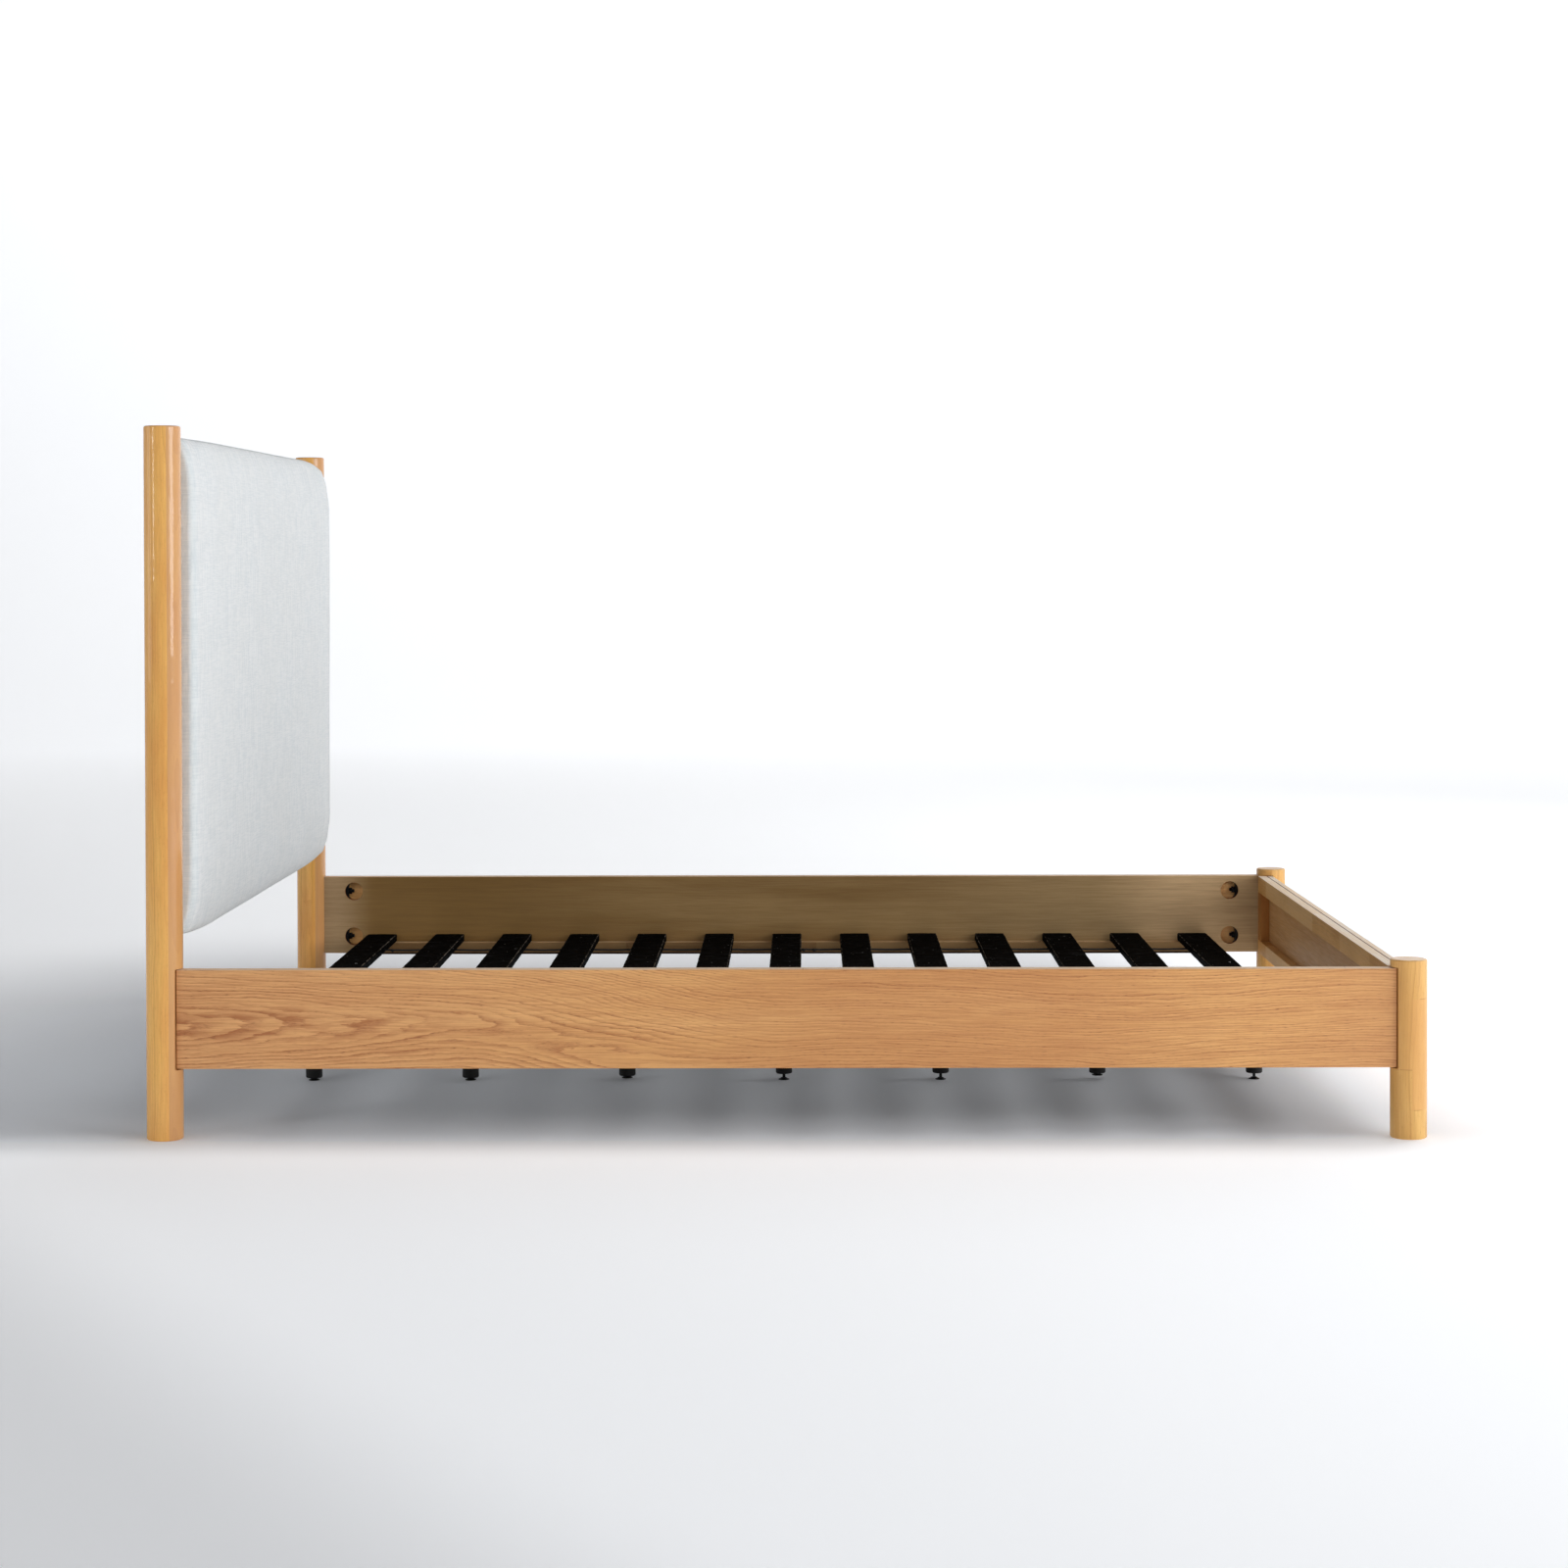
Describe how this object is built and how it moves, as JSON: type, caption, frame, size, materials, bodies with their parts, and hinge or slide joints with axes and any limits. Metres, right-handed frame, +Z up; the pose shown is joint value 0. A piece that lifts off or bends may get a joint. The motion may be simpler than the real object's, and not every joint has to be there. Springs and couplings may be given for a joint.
{
  "type": "bed frame",
  "caption": "Platform bed with round posts, veneered rails, an upholstered headboard pad, black slats and levelling support legs.",
  "frame": {"origin": "on the floor, midway between the four posts", "axes": "+X along the bed towards the foot, +Y across it towards the left side as seen by someone who lies in it, +Z up"},
  "size_m": [2.199, 1.633, 1.224],
  "materials": {
    "head_post_wood": "satin lacquer",
    "foot_post_wood": "satin lacquer",
    "oak_veneer": "satin lacquer over open-grained veneer",
    "ledge_wood": "matt",
    "footboard_wood": "satin lacquer",
    "hidden_wood": "unfinished",
    "slat_black": "semi-gloss black paint",
    "slat_tape": "woven webbing",
    "leg_black": "matt black",
    "foot_black": "satin black",
    "foam": "open-cell foam",
    "linen": "plain-weave linen"
  },
  "bodies": {
    "frame": {"head_post_left": "head_post_wood", "foot_post_left": "foot_post_wood", "side_rail_left": "oak_veneer", "slat_ledge_left": "ledge_wood", "slat_tape_left": "slat_tape", "footboard_stile_left": "footboard_wood", "head_post_right": "head_post_wood", "foot_post_right": "foot_post_wood", "side_rail_right": "oak_veneer", "slat_ledge_right": "ledge_wood", "slat_tape_right": "slat_tape", "footboard_stile_right": "footboard_wood", "footboard_panel": "oak_veneer", "footboard_top_rail": "footboard_wood", "footboard_bottom_rail": "footboard_wood", "headboard_frame": "hidden_wood", "headboard_board": "hidden_wood", "headboard_foam": "foam", "headboard_cover": "linen", "slat_01": "slat_black", "slat_02": "slat_black", "slat_03": "slat_black", "slat_04": "slat_black", "slat_05": "slat_black", "slat_06": "slat_black", "slat_07": "slat_black", "slat_08": "slat_black", "slat_09": "slat_black", "slat_10": "slat_black", "slat_11": "slat_black", "slat_12": "slat_black", "slat_13": "slat_black", "support_leg_01": "leg_black", "support_leg_02": "leg_black", "support_leg_03": "leg_black", "support_leg_04": "leg_black", "support_leg_05": "leg_black", "support_leg_06": "leg_black", "support_leg_07": "leg_black", "support_leg_08": "leg_black", "support_leg_09": "leg_black", "support_leg_10": "leg_black", "support_leg_11": "leg_black", "support_leg_12": "leg_black", "support_leg_13": "leg_black", "support_leg_14": "leg_black"},
    "foot_01": {"levelling_foot_01": "foot_black"},
    "foot_02": {"levelling_foot_02": "foot_black"},
    "foot_03": {"levelling_foot_03": "foot_black"},
    "foot_04": {"levelling_foot_04": "foot_black"},
    "foot_05": {"levelling_foot_05": "foot_black"},
    "foot_06": {"levelling_foot_06": "foot_black"},
    "foot_07": {"levelling_foot_07": "foot_black"},
    "foot_08": {"levelling_foot_08": "foot_black"},
    "foot_09": {"levelling_foot_09": "foot_black"},
    "foot_10": {"levelling_foot_10": "foot_black"},
    "foot_11": {"levelling_foot_11": "foot_black"},
    "foot_12": {"levelling_foot_12": "foot_black"},
    "foot_13": {"levelling_foot_13": "foot_black"},
    "foot_14": {"levelling_foot_14": "foot_black"}
  },
  "joints": [
    {"name": "foot_01_screw", "type": "slide", "parent": "frame", "child": "foot_01", "axis": [0, 0, -1], "range_m": [-0.0004, 0.0173]},
    {"name": "foot_02_screw", "type": "slide", "parent": "frame", "child": "foot_02", "axis": [0, 0, -1], "range_m": [-0.0004, 0.0173]},
    {"name": "foot_03_screw", "type": "slide", "parent": "frame", "child": "foot_03", "axis": [0, 0, -1], "range_m": [-0.0004, 0.0173]},
    {"name": "foot_04_screw", "type": "slide", "parent": "frame", "child": "foot_04", "axis": [0, 0, -1], "range_m": [-0.0004, 0.0173]},
    {"name": "foot_05_screw", "type": "slide", "parent": "frame", "child": "foot_05", "axis": [0, 0, -1], "range_m": [0, 0.0177]},
    {"name": "foot_06_screw", "type": "slide", "parent": "frame", "child": "foot_06", "axis": [0, 0, -1], "range_m": [0, 0.0177]},
    {"name": "foot_07_screw", "type": "slide", "parent": "frame", "child": "foot_07", "axis": [0, 0, -1], "range_m": [-0.0076, 0.0101]},
    {"name": "foot_08_screw", "type": "slide", "parent": "frame", "child": "foot_08", "axis": [0, 0, -1], "range_m": [-0.0076, 0.0101]},
    {"name": "foot_09_screw", "type": "slide", "parent": "frame", "child": "foot_09", "axis": [0, 0, -1], "range_m": [-0.0084, 0.0093]},
    {"name": "foot_10_screw", "type": "slide", "parent": "frame", "child": "foot_10", "axis": [0, 0, -1], "range_m": [-0.0084, 0.0093]},
    {"name": "foot_11_screw", "type": "slide", "parent": "frame", "child": "foot_11", "axis": [0, 0, -1], "range_m": [0, 0.0177]},
    {"name": "foot_12_screw", "type": "slide", "parent": "frame", "child": "foot_12", "axis": [0, 0, -1], "range_m": [0, 0.0177]},
    {"name": "foot_13_screw", "type": "slide", "parent": "frame", "child": "foot_13", "axis": [0, 0, -1], "range_m": [-0.0076, 0.0101]},
    {"name": "foot_14_screw", "type": "slide", "parent": "frame", "child": "foot_14", "axis": [0, 0, -1], "range_m": [-0.0076, 0.0101]}
  ]
}
